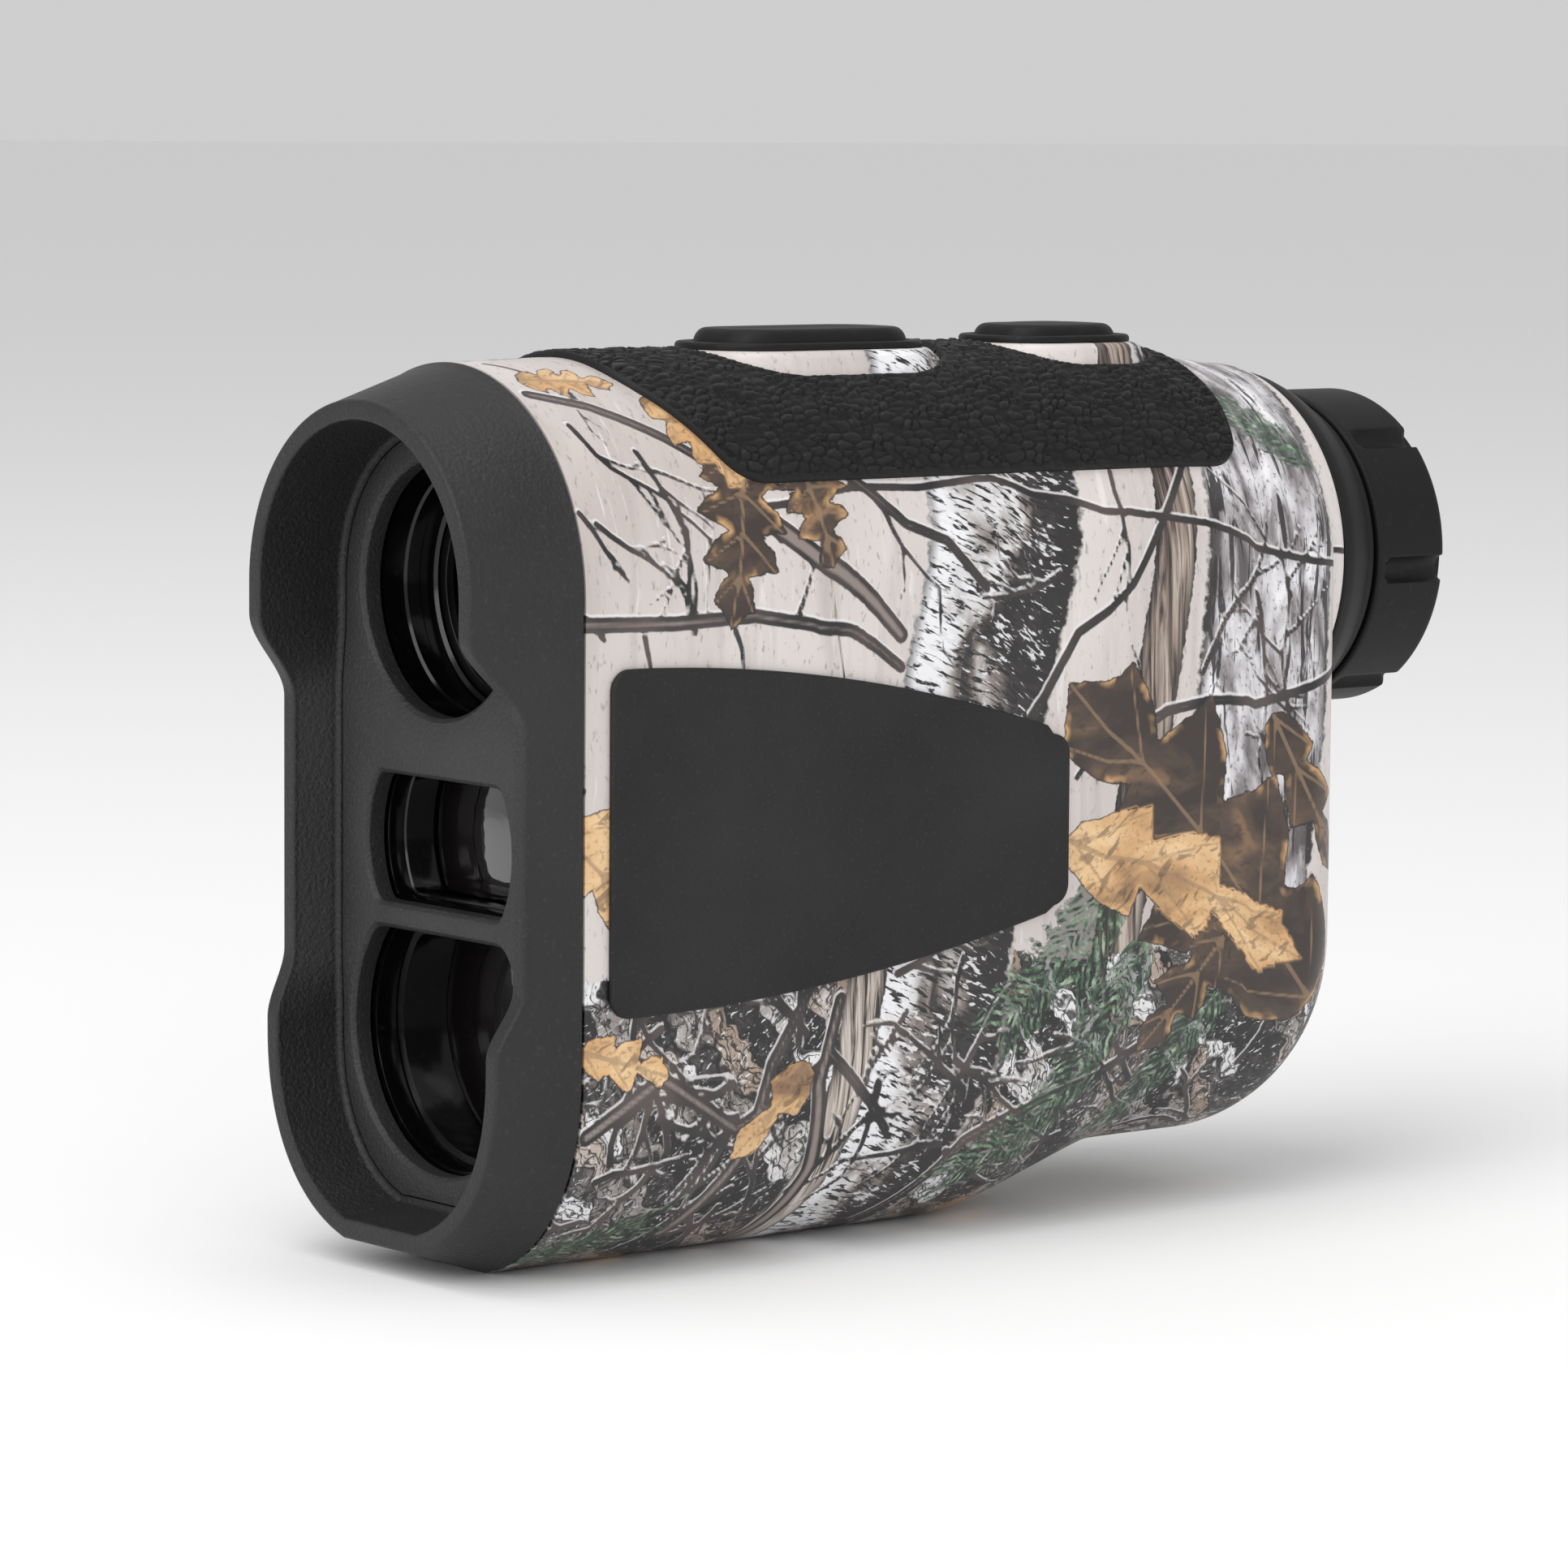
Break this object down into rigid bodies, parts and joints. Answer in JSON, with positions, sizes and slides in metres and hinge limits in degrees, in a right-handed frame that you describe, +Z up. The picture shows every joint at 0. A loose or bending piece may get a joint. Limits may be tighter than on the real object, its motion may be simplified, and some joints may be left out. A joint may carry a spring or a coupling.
{
  "type": "laser rangefinder",
  "caption": "Hand-held monocular laser rangefinder with hooded front windows, top push buttons, focusing eyepiece and a hinged rear battery door.",
  "frame": {"origin": "on the surface it stands on, at the centre of the bounding box in plan", "axes": "+Z up through the buttons; +Y from the front windows to the eyepiece, along the sight line; +X to the side seen on the right when looking in at the front windows from the left"},
  "size_m": [0.0368, 0.1062, 0.0744],
  "materials": {
    "camo_shell": "satin plastic under a woodland print",
    "black_plastic": "fine spark-eroded grain",
    "black_rubber": "matt rubber",
    "charcoal_badge": "satin, plain",
    "coated_glass": "polished, anti-reflection coated",
    "steel": "satin",
    "brass": "satin",
    "circuit_board": "solder mask",
    "battery_wrap": "shrink sleeve",
    "anodised_alloy": "black anodised"
  },
  "bodies": {
    "housing": {"battery": "battery_wrap", "battery_door_frame": "black_plastic", "battery_sleeve": "black_plastic", "bay_contact": "brass", "board_screw_1": "steel", "board_screw_2": "steel", "board_screw_3": "steel", "board_screw_4": "steel", "button_board": "circuit_board", "chassis_plate": "anodised_alloy", "door_hinge_pin": "steel", "emitter_lens": "coated_glass", "emitter_tube": "black_plastic", "eyepiece_barrel": "black_plastic", "eyepiece_collar": "black_plastic", "field_lens": "coated_glass", "front_bezel": "black_plastic", "front_prism": "coated_glass", "grip_pad": "black_rubber", "laser_diode": "anodised_alloy", "laser_driver_board": "circuit_board", "left_badge": "charcoal_badge", "left_shell": "camo_shell", "lens_panel": "black_plastic", "main_board": "circuit_board", "mode_button_gasket": "black_rubber", "mode_switch": "steel", "objective_barrel": "black_plastic", "objective_lens": "coated_glass", "objective_retaining_ring": "anodised_alloy", "photodiode": "anodised_alloy", "power_button_gasket": "black_rubber", "power_switch": "steel", "prism_holder": "anodised_alloy", "processor_chip": "black_plastic", "range_timer_chip": "black_plastic", "rear_prism": "coated_glass", "receiver_lens": "coated_glass", "receiver_tube": "black_plastic", "reticle_display": "coated_glass", "right_badge": "charcoal_badge", "right_shell": "camo_shell"},
    "power_button": {"power_button": "black_rubber"},
    "mode_button": {"mode_button": "black_rubber"},
    "diopter_ring": {"diopter_ring": "black_rubber", "eyecup_ring": "black_rubber"},
    "eye_lens_cell": {"eye_lens_cell": "anodised_alloy", "eye_lens": "coated_glass"},
    "battery_door": {"battery_door": "black_plastic", "door_contact": "brass"}
  },
  "joints": [
    {"name": "power_button_press", "type": "slide", "parent": "housing", "child": "power_button", "axis": [0, 0, -1], "range_m": [0, 0.0008], "stiffness_N_per_m": 800},
    {"name": "mode_button_press", "type": "slide", "parent": "housing", "child": "mode_button", "axis": [0, 0, -1], "range_m": [0, 0.0008], "stiffness_N_per_m": 800},
    {"name": "diopter_turn", "type": "hinge", "parent": "housing", "child": "diopter_ring", "pos_m": [0, 0.04865, 0.0542], "axis": [0, 1, 0], "range_deg": [-140, 140]},
    {"name": "eye_lens_travel", "type": "slide", "parent": "housing", "child": "eye_lens_cell", "axis": [0, 1, 0], "range_m": [-0.0012, 0.0012]},
    {"name": "battery_door_swing", "type": "hinge", "parent": "housing", "child": "battery_door", "pos_m": [0, 0.03935, 0.0143], "axis": [-1, 0, 0], "range_deg": [0, 100]}
  ],
  "couplings": [
    {"joint": "diopter_turn", "follows": "eye_lens_travel", "rad_per_m": 2000}
  ]
}
